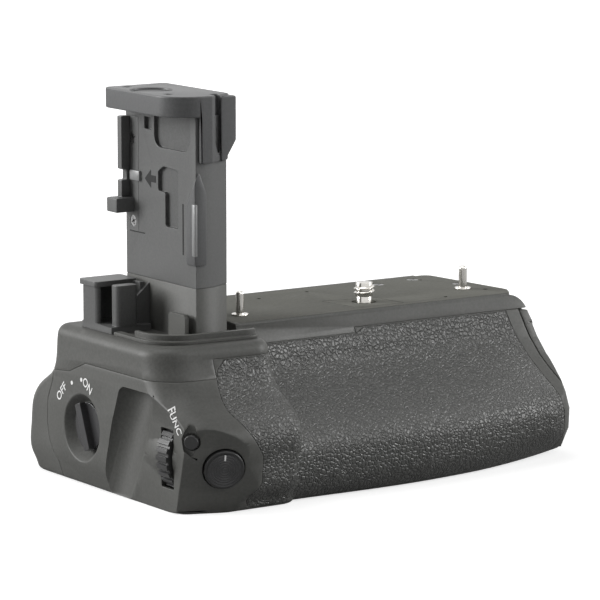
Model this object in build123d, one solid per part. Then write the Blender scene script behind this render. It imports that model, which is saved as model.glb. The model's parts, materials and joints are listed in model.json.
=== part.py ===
from build123d import *
import math
import os

os.makedirs("parts", exist_ok=True)

# camera battery grip, lengths in millimetres; +X runs along the grip to the battery door,
# -Y is the front of the camera, +Z points at the camera

# whole object
length = 148.1
depth = 92.0
height = 115.8
body_height = 48.0  # bottom face to the plate that meets the camera
rear_wall = 33.0  # flat rear face of the camera-depth part
half_length = length / 2
half_depth = depth / 2

# shared by all sub-parts
overrun = 3.0  # how far a cutter goes past the face it opens
wall = 1.8  # casing wall
cover = 1.2  # rubber thickness
pin_play = 0.05  # radial play of a pin in its bore
turn_gap = 0.4  # air round a turning wheel
press_gap = 0.3  # air round a button

# control end, as sections from the bottom to the deck
deck = 45.6
control_heights = (6.0, 14.0, 21.6, 27.0, 31.2, 36.2, 41.5, deck)
control_left_shares = (0.999, 0.999, 0.997, 0.992, 0.989, 0.984, 0.98, 0.977)
control_front_shares = (0.975, 0.99, 1.0, 0.905, 0.75, 0.635, 0.575, 0.545)
control_inner_shares = (0.94, 0.97, 0.985, 0.9, 0.745, 0.655, 0.62, 0.6)
control_rear_shares = (1.005, 1.01, 0.985, 0.89, 0.755, 0.72, 0.7174, 0.7174)
control_foot_shares = (0.989, 0.905, 0.9, 0.965)
control_right = -34.0
control_flare = 4.0
control_corner = 11.0
inner_corner = 6.0
rear_corner = 5.0
flank_corner = 8.0
foot_round = 2.2
foot_steps = 3
shoulder_round = 3.2
deck_end = -36.6  # where the deck meets the higher plate

# front grip, as sections along X
grip_stations = (-50.0, -33.0, -17.0, 0, 22.0, 42.0, 58.0, 70.0, 80.0)
nose_reaches = (43.4, 43.4, 42.9, 43.4, 42.6, 40.2, 38.2, 36.6, 35.4)
foot_reaches = (35.5, 35.5, 36.0, 36.3, 34.8, 31.8, 29.4, 28.0, 27.0)
crease_heights = (37.8, 37.8, 37.8, 37.8, 37.8, 38.6, 39.8, 40.2, 40.4)
hollow_shares = (1.0, 1.0, 1.0, 1.0, 0.9, 0.75, 0.6, 0.6, 0.6)
nose_height = 14.5
edge_reach = 11.3  # front edge of the plate
edge_round = 0.9
crease_reach = 15.3
hollow_lead = 2.0
hollow_drop = 10.0
hollow_pull = 4.0
nose_top_pull = 9.0
nose_foot_pull = 8.0
foot_pull = 4.5
back_foot_round = 3.0

# plain end
end_at = 73.2  # furthest place of the plain end, along the grip
end_reach = 36.0  # depth of that place
end_lean_share = 0.09  # slope of the end face in plan
end_slope_share = 0.12  # slope of the end face seen from the front
end_nose_round = 11.5
end_back_round = 2.5
end_top_round = 4.5
end_foot_round = 8.0
door_thick = 3.2
door_gap = 0.3
door_top_gap = 0.55
hinge_inset = 2.4  # hinge axis from the rear wall
hinge_radius = 1.55
hinge_pin_radius = 0.7
hinge_low = 5.0
hinge_high = 30.9
lug_length = 4.0

# seams between the casings
seam_end = 37.0  # top seam on the control end
seam_front = 41.7  # top seam above the rubber
seam_back = 31.7
seam_drop_depths = (13.0, 22.0)
seam_hip = 36.3
seam_drop = 32.7
seam_step = -54.6
rear_skin = 1.2
rear_seam_depths = (27.2, 29.4, 32.1, 33.5, 33.4, 31.1, 31.4)
rear_seam_heights = (5.4, 7.0, 10.9, 15.6, 23.0, 28.9, 32.9)
rear_seam_foot = 25.2

# hollow of the control end that holds the dial and the function button
hollow_face = 2.25  # depth below the end
hollow_front_start = 14.0
hollow_start = 2.0
hollow_top = 29.0
hollow_top_end = 35.0
hollow_blend = 26.0

# shutter button and its facet
shutter_at = (-60.7, -42.2, 13.3)
shutter_facing_shares = (-0.36, -0.9, -0.22)
shutter_radius = 5.8
shutter_stem = 2.5
shutter_cap = 2.6
shutter_out = 1.0
shutter_travel = 0.7
shutter_depth = 5.0
button_edge = 0.4
button_floor = 0.3  # air left under a pressed button

# function button
function_at = (-70.3, -40.2, 21.6)
function_facing_shares = (-0.775, -0.63, 0)
function_radius = 2.1
function_out = 0.2
function_head = 2.0
function_stem = 1.2
function_depth = 5.0
function_travel = 0.4
leaf_depth = 0.9
leaf_points = ((0, 6.3), (-2.9, 0.8), (-2.2, -2.6), (0, -4.2), (2.2, -2.6), (2.9, 0.8))
leaf_round = 0.7

# main dial
dial_at = (-62.3, 15.7)  # along X and Z
dial_radius = 11.7
dial_low = -32.8
dial_high = -27.2
dial_teeth = 30
dial_tooth = 0.7
notch_share = 0.4
dial_pin = 1.5
dial_pin_ends = (-36.0, -20.0)
slot_low = 7.0
slot_high = 24.0
boss_depths = (-36.8, -30.4, -24.5, -14.8)
boss_edge_radius = 9.3
boss_mid_radius = 10.7

# power switch
switch_at = (13.6, 17.5)  # along Y and Z
bowl_radius = 10.2
bowl_floor_radius = 7.4
bowl_depth = 3.2
knob_radius = 7.1
knob_plate = 1.0
knob_bar = 3.0
knob_bar_height = 3.0
knob_rest = 22.0
knob_shaft = 2.5
knob_shaft_length = 6.0

# top plate
plate_thick = 1.8
plate_front = 10.6
plate_left = -36.2
plate_right = 66.6
plate_rear = 31.6
plate_corner = 3.0
plate_right_front = 63.4
plate_right_drop = 5.6

# locating pins
pin_places = ((-27.5, 0.4), (55.6, 3.0))
pin_radius = 1.25
pin_height = 7.2
pin_collar_radius = 2.5
pin_collar = 0.5
pin_seat = 0.4  # depth to which the collar is let into the plate
pin_root = 4.0
pin_dome_share = 0.7
plate_screw_places = ((39.0, 24.5), (53.5, 26.5), (60.5, 12.0), (-31.5, 27.0))
plate_screw_head_radius = 1.9
plate_screw_head = 0.9
plate_screw_sunk = 0.15
plate_screw_radius = 0.9
plate_screw_reach = 3.0

# mounting screw and the train that turns it
screw_at = (16.85, 0.3)
screw_radius = 3.175
screw_rise = 5.9
screw_thread = 4.2
screw_neck = 2.4
screw_hole = 3.6
screw_collar = 5.2
screw_tail = 2.0
gear_module = 0.8
wheel_teeth = 20
idler_teeth = 22
gear_low = 41.9
gear_thick = 3.2
tooth_tip_share = 0.9
tooth_root_share = 1.15
tip_half_share = 0.36
root_half_share = 1.1
train_slack = 0.06
train_turn = 49.3
wheel_radius = 11.9
wheel_low = 33.6
wheel_thick = 7.6
wheel_grips = 36
wheel_notch = 0.5
wheel_hub = 5.0
spindle_radius = 1.5
spindle_low = 29.0
idler_pin_radius = 1.2
idler_pin_low = 34.0
bush_radius = 3.6
bush_low = 33.0
bush_high = 41.3

# tripod socket and bottom plate
socket_at = (-4.0, -2.0)
socket_radius = 3.175
socket_flange = 6.5
socket_depth = 9.0
base_thick = 1.6
base_left = -58.0
base_right = 5.0
base_front = -30.0
base_rear = 25.0
base_corner = 6.0
base_screw_inset = 5.0
base_screw_radius = 2.2
base_screw_head = 1.1
base_screw_shank = 1.1
base_screw_length = 7.0

# battery bay
pack_wide = 38.7
pack_thick = 21.3
pack_corner = 3.0
flat_bay_inner = 9.0
upright_bay_inner = 5.6
flat_bay_low = 1.8
flat_bay_front = -29.0
upright_bay_front = 10.5
upright_bay_low = 1.8
contact_block = 2.6
contact_height = 14.0
contact_blades = 4
blade_thick = 0.8
blade_wide = 2.4
blade_high = 4.0
blade_pitch = 4.4

# rubber covers: corners of the front one seen from the front
rubber_top = 41.4
rubber_left = ((-50.8, rubber_top), (-54.0, 38.6), (-56.9, 28.4), (-49.2, 16.0), (-49.4, 8.0), (-56.5, 0.8))
rubber_round = 2.6
rubber_step = (4.1, 7.6)  # the top edge rises between these places along the grip
rubber_rise = 1.6
rubber_step_round = 0.8
rubber_end = 8.0  # from the end face
thumb_rubber_span = (-70.0, -38.0)
thumb_rubber_heights = (7.0, 24.0)
thumb_rubber_round = 5.0

# battery door latch, placed from the furthest point of the end face
latch_u = (20.6, 29.4)
latch_v = (15.0, 25.0)
latch_knob = 5.6
latch_sunk = 1.2
latch_knob_out = 0.2
latch_stem = 3.0
latch_stem_high = 3.4
latch_travel = 2.6
latch_lip = 0.9
latch_tongue = 1.1
latch_tongue_rise = 2.0
latch_side_gap = 0.15
latch_room_gap = 0.6

# battery locks: the slots in the end of the housing
lock_flat_u = (34.0, 42.0)
lock_flat_v = 8.9  # top edge of the flat bay, from the furthest point
lock_thick = 1.6
lock_high = 3.6
lock_hook = 1.0
lock_travel = 1.4
lock_stem = 8.0
lock_stem_share = 0.6
lock_sunk = 2.4

# rear controls
rear_button_places = ((-64.6, 38.4), (-58.4, 38.4), (-52.2, 38.4))
rear_button_radius = 2.3
rear_button_out = 0.7
rear_button_head = 2.0
rear_button_stem = 1.4
rear_button_depth = 5.0
rear_button_travel = 0.5
rear_dial_at = (29.1, 38.4)  # along Y and Z
rear_dial_radius = 6.0
rear_dial_ends = (-47.6, -42.2)
rear_dial_pin = 1.0
rear_dial_pin_ends = (-49.2, -40.6)
rear_dial_teeth = 20
stick_at = (-32.5, 27.4, 38.0)
stick_hub = 2.5
stick_shaft = 1.0
stick_shaft_half = 7.0
stick_room = 5.6
stick_mouth = 4.0
stick_pin = 0.7
stick_arm = 1.4
stick_arm_gap = 0.15
stick_neck = 1.5
stick_cap = 3.4
stick_cap_low = 34.2
stick_cap_high = 35.8

# tower
tower_left = -54.3
tower_right = -41.3
tower_rear = 20.0
tower_front = -18.0
tower_bevel_at = -48.9
tower_bevel_depth = 4.0
tower_foot_top = 60.6
tower_top = 109.8
tower_step = 73.1
strip_low = 13.1
strip_depth = 1.6
strip_top = 107.0
cap_left = -62.3
cap_rear = 18.9
cap_front = -19.5
cap_big_round = 10.0
cap_small_round = 1.5
cap_bevel_at = -49.4
cap_bevel_depth = 4.3
cap_dish_at = (-55.3, 4.1)
cap_dish_radius = 6.0
cap_dish_depth = 0.6
cap_hole_places = ((-56.8, 14.9), (-57.5, -8.8))
cap_hole_radius = 1.2
cap_hole_depth = 2.0
skirt_low = 96.6
skirt_left = -53.4
cap_slot_x = (-47.9, -45.4)
cap_slot_foot_x = (-46.6, -45.8)
cap_slot_low = 99.0
cap_slot_deep = -15.2
prong_x = (-43.9, -40.2)  # at its foot and where it is widest
prong_y = (-17.7, -13.0)
prong_wide_from = 102.5
prong_top = 115.2
notch_span = (5.8, 9.7)
notch_heights = (104.0, 107.5)
scoop_span = (-15.0, 4.3)
scoop_low = 99.3
scoop_round = 3.5
window_points = (
    (2.3, 86.6), (2.3, 92.4), (-0.6, 94.0), (-8.6, 93.6), (-8.6, 76.7), (-1.6, 76.7), (-1.6, 86.6)
)
window_round = 0.9
relief = 1.1
side_cover_x = (-55.2, -51.0)
side_cover_y = (-18.8, -12.9)
side_cover_heights = (67.2, 94.0)
side_cover_slope = 6.4
side_cover_lean = 3.4
side_cover_round = 0.7
post_x = (-57.3, -54.3)
post_y = (17.6, 20.0)
post_heights = (82.9, 107.0)
post_notch = (88.3, 91.4)
post_notch_x = -55.6
tab_x = (-60.3, -51.2)
tab_y = (15.6, 21.2)
tab_heights = (79.0, 83.2)
strip_screw_heights = (76.3, 100.6)
strip_screw_y = 16.2
strip_screw_radius = 1.7
strip_screw_head = 0.9
strip_screw_shank = 0.8
strip_screw_length = 6.0

# deck round the tower
rim_inset = 3.4
rim_wide = 2.6
rim_high = 1.0
rim_step_wide = 1.3
rim_step_high = 2.6
rim_step_rear = -6.0
rim_rear = 3.4
rim_tab = ((-57.2, -55.8), (-16.5, -7.5), 53.0)
gusset_y = (7.3, 8.3)
gusset_reach = 4.5
gusset_heights = (55.4, 59.3)

# box that stores the camera's own battery door
holder_x = (-69.0, -55.4)
holder_y = (12.8, 21.2)
holder_top = 60.0
holder_floor = 47.6
holder_lid = 1.6
holder_lip = 0.7
holder_post_x = (-67.0, -59.8)
holder_post_y = (4.6, 8.3)
holder_post_top = 59.5
holder_back = 1.6
holder_round = 1.2


along_x = (Plane.YZ, 1)  # each axis: its drawing plane, and the sense in which the plane looks
along_y = (Plane.XZ, -1)
along_z = (Plane.XY, 1)


def span_box(x, y, z):
    corner = Align.MIN
    solid = Box(x[1] - x[0], y[1] - y[0], z[1] - z[0], align=(corner, corner, corner))
    return Pos(x[0], y[0], z[0]) * solid


def slab(axis, sketch, low, high):
    """A sketch drawn in the axis plane, thickened from low to high along the axis."""
    plane, sense = axis
    return extrude(plane.offset(sense * low) * sketch, amount=sense * (high - low))


def rod(axis, centre, radius, low, high):
    return slab(axis, Pos(*centre) * Circle(radius), low, high)


def prism(axis, points, low, high, corner=0):
    if corner:
        outline = FilletPolyline(*points, radius=corner, close=True)
    else:
        outline = Polyline(*points, close=True)
    return slab(axis, make_face(outline), low, high)


def bars(axis, places, radius, low, high):
    return [rod(axis, place, radius, low, high) for place in places]


def toothed(teeth, root, tip, root_half, tip_half):
    points = []
    corners = ((root, root_half, -1), (tip, tip_half, -1), (tip, tip_half, 1), (root, root_half, 1))
    for tooth in range(teeth):
        middle = 2 * math.pi * tooth / teeth
        for radius, half, side in corners:
            angle = middle + side * half / radius
            points.append((radius * math.cos(angle), radius * math.sin(angle)))
    return make_face(Polyline(*points, close=True))


# master form

def control_section(z, left, front, inner, rear, inset):
    points = [
        (inset - half_length * left, half_depth * rear - inset),
        (inset - half_length * left, inset - half_depth * front),
        (control_right, inset - half_depth * inner),
        (control_right + control_flare, half_depth * rear - inset),
    ]
    corners = [rear_corner, control_corner, inner_corner, flank_corner]
    return Pos(0, 0, z) * make_face(FilletPolyline(*points, radius=corners, close=True))


def control_form(inset):
    sections = []
    for step in range(foot_steps + 1):
        turn = math.pi / 2 * step / foot_steps
        rise = foot_round * (1 - math.cos(turn))
        draw_in = foot_round * (1 - math.sin(turn))
        sections.append(control_section(rise, *control_foot_shares, inset + draw_in))
    levels = zip(control_heights, control_left_shares, control_front_shares,
                 control_inner_shares, control_rear_shares)
    for level in levels:
        sections.append(control_section(*level, inset))
    return loft(sections)


def grip_section(x, nose, foot, crease, hollow, inset):
    top = body_height
    ease = hollow_pull * (1 - hollow)
    back_top = (rear_wall, top)
    edge_back = (edge_round + inset - edge_reach, top)
    edge = (inset - edge_reach, top)
    edge_down = (inset - edge_reach, top - edge_round)
    under_band = (inset - crease_reach, crease)
    tip = (inset - nose, nose_height)
    hollow_pole = (inset - crease_reach - hollow_lead - ease, crease - hollow_drop * hollow - ease)
    upper_pole = (inset - nose, nose_height + nose_top_pull)
    lower_pole = (inset - nose, nose_height - nose_foot_pull)
    foot_pole = (inset - foot - foot_pull, 0)
    foot_front = (inset - foot, 0)
    foot_back = (rear_wall - back_foot_round, 0)
    back_low = (rear_wall, back_foot_round)
    edges = [
        Line(back_top, edge_back),
        Bezier(edge_back, edge, edge_down),
        Line(edge_down, under_band),
        Bezier(under_band, hollow_pole, upper_pole, tip),
        Bezier(tip, lower_pole, foot_pole, foot_front),
        Line(foot_front, foot_back),
        Bezier(foot_back, (rear_wall, 0), back_low),
        Line(back_low, back_top),
    ]
    return Plane.YZ.offset(x) * make_face(Wire(edges))


def grip_form(inset):
    stations = zip(grip_stations, nose_reaches, foot_reaches, crease_heights, hollow_shares)
    return loft([grip_section(*station, inset) for station in stations])


# plain end: u runs towards the rear, v upwards, w outwards, from the furthest point of the end
end_plane = Plane(
    origin=(end_at, -end_reach, nose_height),
    x_dir=(-end_lean_share, 1, 0),
    z_dir=(1, end_lean_share, end_slope_share),
)
end_rear = (rear_wall + end_reach) * math.hypot(1, end_lean_share)
end_top = body_height - nose_height
far = length


def end_box(u, v, w):
    return end_plane * span_box(u, v, w)


def end_round(at, radius, side, upright):
    """The stock to take off one edge of the plain end, to leave it round."""
    reach = radius + overrun
    square = Pos(at + side * (overrun - radius) / 2, (overrun - radius) / 2) * Rectangle(reach, reach)
    sketch = square - Pos(at - side * radius, -radius) * Circle(radius)
    if upright:
        plane = Plane(origin=end_plane.origin, x_dir=end_plane.x_dir, z_dir=-end_plane.y_dir)
    else:
        plane = Plane(origin=end_plane.origin, x_dir=end_plane.y_dir, z_dir=end_plane.x_dir)
    return extrude(plane * sketch, amount=far, both=True)


def master_form():
    control = control_form(0)
    control = fillet(control.faces().sort_by(Axis.Z)[-1].edges(), shoulder_round)
    step = span_box((-far, deck_end), (-far, far), (deck, body_height + overrun))
    form = control + (grip_form(0) - step)
    form -= end_box((-far, far), (-far, far), (0, far))
    form -= end_round(0, end_nose_round, -1, True)
    form -= end_round(end_rear, end_back_round, 1, True)
    form -= end_round(end_top, end_top_round, 1, False)
    form -= end_round(-nose_height, end_foot_round, -1, False)
    return form


# regions that split the form into casings

def seam_prism(x_low, x_high, front, middle):
    """Everything above the top seam: its height in front, then where it starts to drop to the rear."""
    drop_start, drop_end = seam_drop_depths
    points = [(-far, front), (drop_start, middle), (drop_end, seam_drop), (rear_wall, seam_back),
              (far, seam_back), (far, far), (-far, far)]
    return prism(along_x, points, x_low, x_high)


def top_region():
    region = (
        seam_prism(-far, seam_step, seam_end, seam_hip)
        + seam_prism(seam_step, far, seam_front, seam_front)
    )
    return (
        region
        - span_box((rubber_step[0], far), (-far, -edge_reach), (seam_front, seam_front + rubber_rise))
    )


def rear_region():
    curve = list(zip(rear_seam_depths, rear_seam_heights))
    points = [(rear_seam_foot, -overrun)] + curve + [(rear_seam_depths[-1], far), (far, far), (far, -overrun)]
    bulge_end = control_right + control_flare
    bulge = prism(along_x, points, -far, bulge_end)
    return bulge + span_box((bulge_end, far), (rear_wall - rear_skin, far), (-far, far))


def end_region(depth_in):
    return end_box((-far, far), (-far, far), (-depth_in, far))


# controls on the left end

end_face = -half_length
hollow_x = end_face + hollow_face
bowl_floor = end_face + bowl_depth
shutter_plane = Plane(
    origin=shutter_at,
    x_dir=(-shutter_facing_shares[1], shutter_facing_shares[0], 0),
    z_dir=shutter_facing_shares,
)
function_plane = Plane(
    origin=function_at,
    x_dir=(-function_facing_shares[1], function_facing_shares[0], 0),
    z_dir=function_facing_shares,
)


def local_rod(plane, radius, low, high):
    return extrude(plane.offset(low) * Circle(radius), amount=high - low)


def hollow_cutter():
    out = hollow_face + overrun
    deep_top = hollow_top
    wide_top = hollow_top + (hollow_top_end - hollow_top) * out / hollow_face
    deep_back = -hollow_front_start
    wide_back = deep_back + (hollow_front_start - hollow_start) * out / hollow_face
    faces = []
    for x, back, top in ((hollow_x, deep_back, deep_top), (end_face - overrun, wide_back, wide_top)):
        points = [(-far, -far), (back, -far), (back, top), (-far, top)]
        faces.append(Plane.YZ.offset(x) * make_face(Polyline(*points, close=True)))
    cutter = loft(faces, ruled=True)
    inner = cutter.faces().sort_by(Axis.X)[-1].edges()
    blended = [inner.sort_by(Axis.Y)[-1], inner.sort_by(Axis.Z)[-1]]
    return fillet(blended, hollow_blend)


def dial_bosses():
    low, mid_low, mid_high, high = boss_depths
    points = [(0, low), (boss_edge_radius, low), (boss_mid_radius, mid_low), (boss_mid_radius, mid_high),
              (boss_edge_radius, high), (0, high)]
    profile = Plane.XY * make_face(Polyline(*points, close=True))
    return Pos(dial_at[0], 0, dial_at[1]) * revolve(profile, Axis.Y)


def button(plane, head_radius, stem_radius, out, head, reach):
    cap = local_rod(plane, head_radius, out - head, out)
    cap = fillet(cap.edges().group_by(Axis(plane.origin, plane.z_dir))[-1], button_edge)
    return cap + local_rod(plane, stem_radius, -reach, out - head)


def button_seat(plane, head_radius, stem_radius, out, head, reach, travel):
    sunk = travel + button_floor
    seat = local_rod(plane, head_radius + press_gap, out - head - sunk, overrun + out)
    return seat + local_rod(plane, stem_radius + pin_play, -reach - sunk, out - head)


shutter_sizes = (shutter_radius, shutter_stem, shutter_out, shutter_cap, shutter_depth)
function_sizes = (function_radius, function_stem, function_out, function_head, function_depth)


def bowl_cutter():
    mouth = bowl_radius + (bowl_radius - bowl_floor_radius) * overrun / bowl_depth
    points = [
        (bowl_floor, 0), (bowl_floor, bowl_floor_radius), (end_face - overrun, mouth), (end_face - overrun, 0)
    ]
    return Pos(0, *switch_at) * revolve(make_face(Polyline(*points, close=True)), Axis.X)


def dial_room():
    low, high = dial_low - turn_gap, dial_high + turn_gap
    room = rod(along_y, dial_at, dial_radius + turn_gap, low, high)
    return room + span_box((end_face - overrun, hollow_x + slot_low), (low, high), (slot_low, slot_high))


def carve_controls(form):
    form -= hollow_cutter()
    form -= extrude(shutter_plane * Rectangle(far, far), amount=far)
    form += dial_bosses()
    form -= dial_room()
    form -= rod(along_y, dial_at, dial_pin, *dial_pin_ends)
    form -= bowl_cutter()
    form -= rod(
        along_x, switch_at, knob_shaft + pin_play, bowl_floor, bowl_floor + knob_shaft_length + button_floor
    )
    form -= button_seat(shutter_plane, *shutter_sizes, shutter_travel)
    leaf = (
        function_plane.offset(-leaf_depth)
        * make_face(FilletPolyline(*leaf_points, radius=leaf_round, close=True))
    )
    form -= extrude(leaf, amount=overrun + leaf_depth)
    form -= button_seat(function_plane, *function_sizes, function_travel)
    return form


def power_switch():
    low = bowl_floor - pin_play
    knob = rod(along_x, switch_at, knob_radius, low - knob_plate, low)
    bar = (
        Rot(X=-knob_rest)
        * span_box((low - knob_bar_height, low), (-knob_bar / 2, knob_bar / 2), (-far, far))
    )
    bar = Pos(0, *switch_at) * bar
    bar &= rod(along_x, switch_at, knob_radius, low - knob_bar_height, low)
    return knob + bar + rod(along_x, switch_at, knob_shaft, low, bowl_floor + knob_shaft_length)


def ridged_wheel(radius, count, notch, room):
    """A wheel outline with flat ridges; room is the share of each pitch that the notch takes."""
    pitch = 2 * math.pi * radius / count
    half = pitch * (1 - room) / 2
    return toothed(count, radius - notch, radius, half, half)


def main_dial():
    face = ridged_wheel(dial_radius, dial_teeth, dial_tooth, notch_share) - Circle(dial_pin + pin_play)
    return slab(along_y, Pos(*dial_at) * face, dial_low, dial_high)


# rear controls

def facing_back(x, z):
    return Plane(origin=(x, rear_wall, z), x_dir=(-1, 0, 0), z_dir=(0, 1, 0))


rear_button_sizes = (
    rear_button_radius, rear_button_stem, rear_button_out, rear_button_head, rear_button_depth
)


def carve_rear(form):
    for place in rear_button_places:
        form -= button_seat(facing_back(*place), *rear_button_sizes, rear_button_travel)
    low, high = rear_dial_ends
    form -= rod(along_x, rear_dial_at, rear_dial_radius + turn_gap, low - turn_gap, high + turn_gap)
    form -= rod(along_x, rear_dial_at, rear_dial_pin, *rear_dial_pin_ends)
    x, y, z = stick_at
    room_low = y - stick_hub - stick_arm - turn_gap
    form -= rod(along_y, (x, z), stick_room, room_low, y + stick_hub + stick_arm + turn_gap)
    form -= rod(along_y, (x, z), stick_mouth, y, rear_wall + overrun)
    form -= rod(along_x, (y, z), stick_shaft + pin_play, x - stick_shaft_half, x + stick_shaft_half)
    return form


def rear_dial():
    face = (
        ridged_wheel(rear_dial_radius, rear_dial_teeth, dial_tooth, notch_share)
        - Circle(rear_dial_pin + pin_play)
    )
    return slab(along_x, Pos(*rear_dial_at) * face, *rear_dial_ends)


def joystick_gimbal():
    x, y, z = stick_at
    gimbal = rod(
        along_x, (y, z), stick_shaft, x - stick_shaft_half + stick_arm_gap, x + stick_shaft_half - stick_arm_gap
    )
    gimbal += Pos(x, y, z) * Cylinder(stick_hub, 2 * stick_hub)
    return gimbal - rod(along_z, (x, y), stick_pin + pin_play, -far, far)


def joystick_cap():
    """The thumb pad, on a fork that is pinned through the hub of the gimbal."""
    x, y, z = stick_at
    inner = stick_hub + stick_arm_gap
    outer = inner + stick_arm
    reach = stick_hub + stick_arm_gap
    fork = rod(along_z, (x, y), stick_neck, z - outer, z + outer)
    fork += span_box((x - stick_neck, x + stick_neck), (y, y + reach + stick_arm), (z - outer, z + outer))
    fork -= rod(along_z, (x, y), reach, z - inner, z + inner)
    stalk = rod(along_y, (x, z), stick_neck, y + reach, stick_cap_low)
    pad = rod(along_y, (x, z), stick_cap, stick_cap_low, stick_cap_high)
    pad = fillet(pad.edges().group_by(Axis.Y)[-1], button_edge)
    return fork + stalk + pad + rod(along_z, (x, y), stick_pin, z - inner, z + inner)


# mounting screw and its gear train

screw_pitch = gear_module * wheel_teeth / 2
idler_pitch = gear_module * idler_teeth / 2
train_angle = math.radians(train_turn)
train_step = screw_pitch + idler_pitch + train_slack
idler_at = (
    screw_at[0] - train_step * math.sin(train_angle), screw_at[1] + train_step * math.cos(train_angle)
)
wheel_at = (2 * idler_at[0] - screw_at[0], 2 * idler_at[1] - screw_at[1])
train_heading = train_turn - 90  # from the wheel towards the screw, in degrees
gear_high = gear_low + gear_thick
plate_low = body_height - plate_thick
gear_floor = gear_low - turn_gap
tooth_tip = gear_module * tooth_tip_share
tooth_root = gear_module * tooth_root_share


def gear(teeth, at, bore, phase):
    pitch = gear_module * teeth / 2
    root_half = gear_module * root_half_share
    tip_half = gear_module * tip_half_share
    face = toothed(teeth, pitch - tooth_root, pitch + tooth_tip, root_half, tip_half)
    blank = slab(along_z, Pos(*at) * Rot(Z=phase) * face, gear_low, gear_high)
    return blank - rod(along_z, at, bore, gear_low - overrun, gear_high + overrun)


def thumbwheel():
    rim = ridged_wheel(wheel_radius, wheel_grips, wheel_notch, notch_share)
    wheel = slab(along_z, Pos(*wheel_at) * rim, wheel_low, wheel_low + wheel_thick)
    wheel += rod(along_z, wheel_at, wheel_hub, wheel_low, gear_low)
    wheel += gear(wheel_teeth, wheel_at, spindle_radius + pin_play, train_heading)
    return wheel - rod(along_z, wheel_at, spindle_radius + pin_play, -far, far)


def idler_gear():
    half_pitch = 180 / idler_teeth
    return gear(idler_teeth, idler_at, idler_pin_radius + pin_play, train_heading + 180 + half_pitch)


def screw_gear():
    return gear(wheel_teeth, screw_at, screw_neck, train_heading + 180)


def mounting_screw():
    top = body_height + screw_rise
    collar_top = plate_low - pin_play
    screw = rod(along_z, screw_at, screw_radius, top - screw_thread, top)
    screw = chamfer(screw.edges().group_by(Axis.Z)[-1], button_edge)
    screw += rod(along_z, screw_at, screw_neck, gear_low, top - screw_thread)
    screw += rod(along_z, screw_at, screw_collar, gear_high, collar_top)
    return screw + rod(along_z, screw_at, screw_tail, bush_low, gear_low)


def train_room():
    room = rod(along_z, wheel_at, wheel_radius + turn_gap, wheel_low - turn_gap, gear_floor)
    for at, pitch in ((wheel_at, screw_pitch), (idler_at, idler_pitch), (screw_at, screw_pitch)):
        room += rod(along_z, at, pitch + tooth_tip + turn_gap, gear_floor, plate_low)
    return room


def train_bores():
    bores = rod(along_z, wheel_at, spindle_radius, spindle_low, plate_low)
    bores += rod(along_z, idler_at, idler_pin_radius, idler_pin_low, plate_low)
    return bores + rod(along_z, screw_at, bush_radius, bush_low, gear_floor)


def screw_bush():
    bush = rod(along_z, screw_at, bush_radius, bush_low, bush_high)
    return bush - rod(along_z, screw_at, screw_tail + pin_play, bush_low, bush_high)


# top plate and what stands on it

plate_points = [
    (plate_left, -plate_front),
    (plate_right_front, -plate_front),
    (plate_right, -plate_front + plate_right_drop),
    (plate_right - (plate_rear + plate_front) * end_lean_share, plate_rear),
    (plate_left, plate_rear),
]


def plate_blank(low, high, inset):
    outline = make_face(FilletPolyline(*plate_points, radius=plate_corner, close=True))
    if inset:
        outline = offset(outline, -inset)
    return slab(along_z, outline, low, high)


def locating_pins():
    pins = []
    for place in pin_places:
        pin = rod(along_z, place, pin_radius, plate_low - pin_root, body_height + pin_height)
        pin = fillet(pin.edges().group_by(Axis.Z)[-1], pin_radius * pin_dome_share)
        collar = rod(along_z, place, pin_collar_radius, body_height - pin_seat, body_height + pin_collar)
        pins.append(pin + collar)
    return pins


def top_plate():
    plate = plate_blank(plate_low, body_height, 0)
    plate -= rod(along_z, screw_at, screw_hole, plate_low, body_height)
    for pin in bars(along_z, pin_places, pin_radius, plate_low, body_height):
        plate -= pin
    for collar in bars(along_z, pin_places, pin_collar_radius, body_height - pin_seat, body_height):
        plate -= collar
    for head in plate_screw_bars(plate_screw_head_radius, body_height - plate_screw_head, body_height):
        plate -= head
    for shank in plate_screw_bars(plate_screw_radius, plate_low, body_height):
        plate -= shank
    return plate


def plate_screw_bars(radius, low, high):
    return bars(along_z, plate_screw_places, radius, low, high)


def plate_screws():
    heads = plate_screw_bars(
        plate_screw_head_radius, body_height - plate_screw_head, body_height - plate_screw_sunk
    )
    shanks = plate_screw_bars(
        plate_screw_radius, plate_low - plate_screw_reach, body_height - plate_screw_head
    )
    return [head + shank for head, shank in zip(heads, shanks)]


# bottom

def base_blank(radius_in):
    width, across = base_right - base_left, base_rear - base_front
    middle = ((base_left + base_right) / 2, (base_front + base_rear) / 2)
    outline = Pos(*middle) * RectangleRounded(width - 2 * radius_in, across - 2 * radius_in, base_corner)
    return slab(along_z, outline, 0, base_thick)


base_screw_places = [
    (x, y)
    for x in (base_left + base_screw_inset, base_right - base_screw_inset)
    for y in (base_front + base_screw_inset, base_rear - base_screw_inset)
]


def base_plate():
    plate = base_blank(0) - rod(along_z, socket_at, socket_radius + wall, 0, base_thick)
    for cut in bars(along_z, base_screw_places, base_screw_radius, 0, base_screw_head):
        plate -= cut
    for cut in bars(along_z, base_screw_places, base_screw_shank, base_screw_head, base_thick):
        plate -= cut
    return plate


def base_screws():
    heads = bars(along_z, base_screw_places, base_screw_radius, plate_screw_sunk, base_screw_head)
    shanks = bars(along_z, base_screw_places, base_screw_shank, base_screw_head, base_screw_length)
    return [head + shank for head, shank in zip(heads, shanks)]


def tripod_socket():
    socket = rod(along_z, socket_at, socket_radius + wall, 0, socket_depth)
    socket += rod(along_z, socket_at, socket_flange, base_thick, base_thick + wall)
    return socket - rod(along_z, socket_at, socket_radius, 0, socket_depth)


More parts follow.
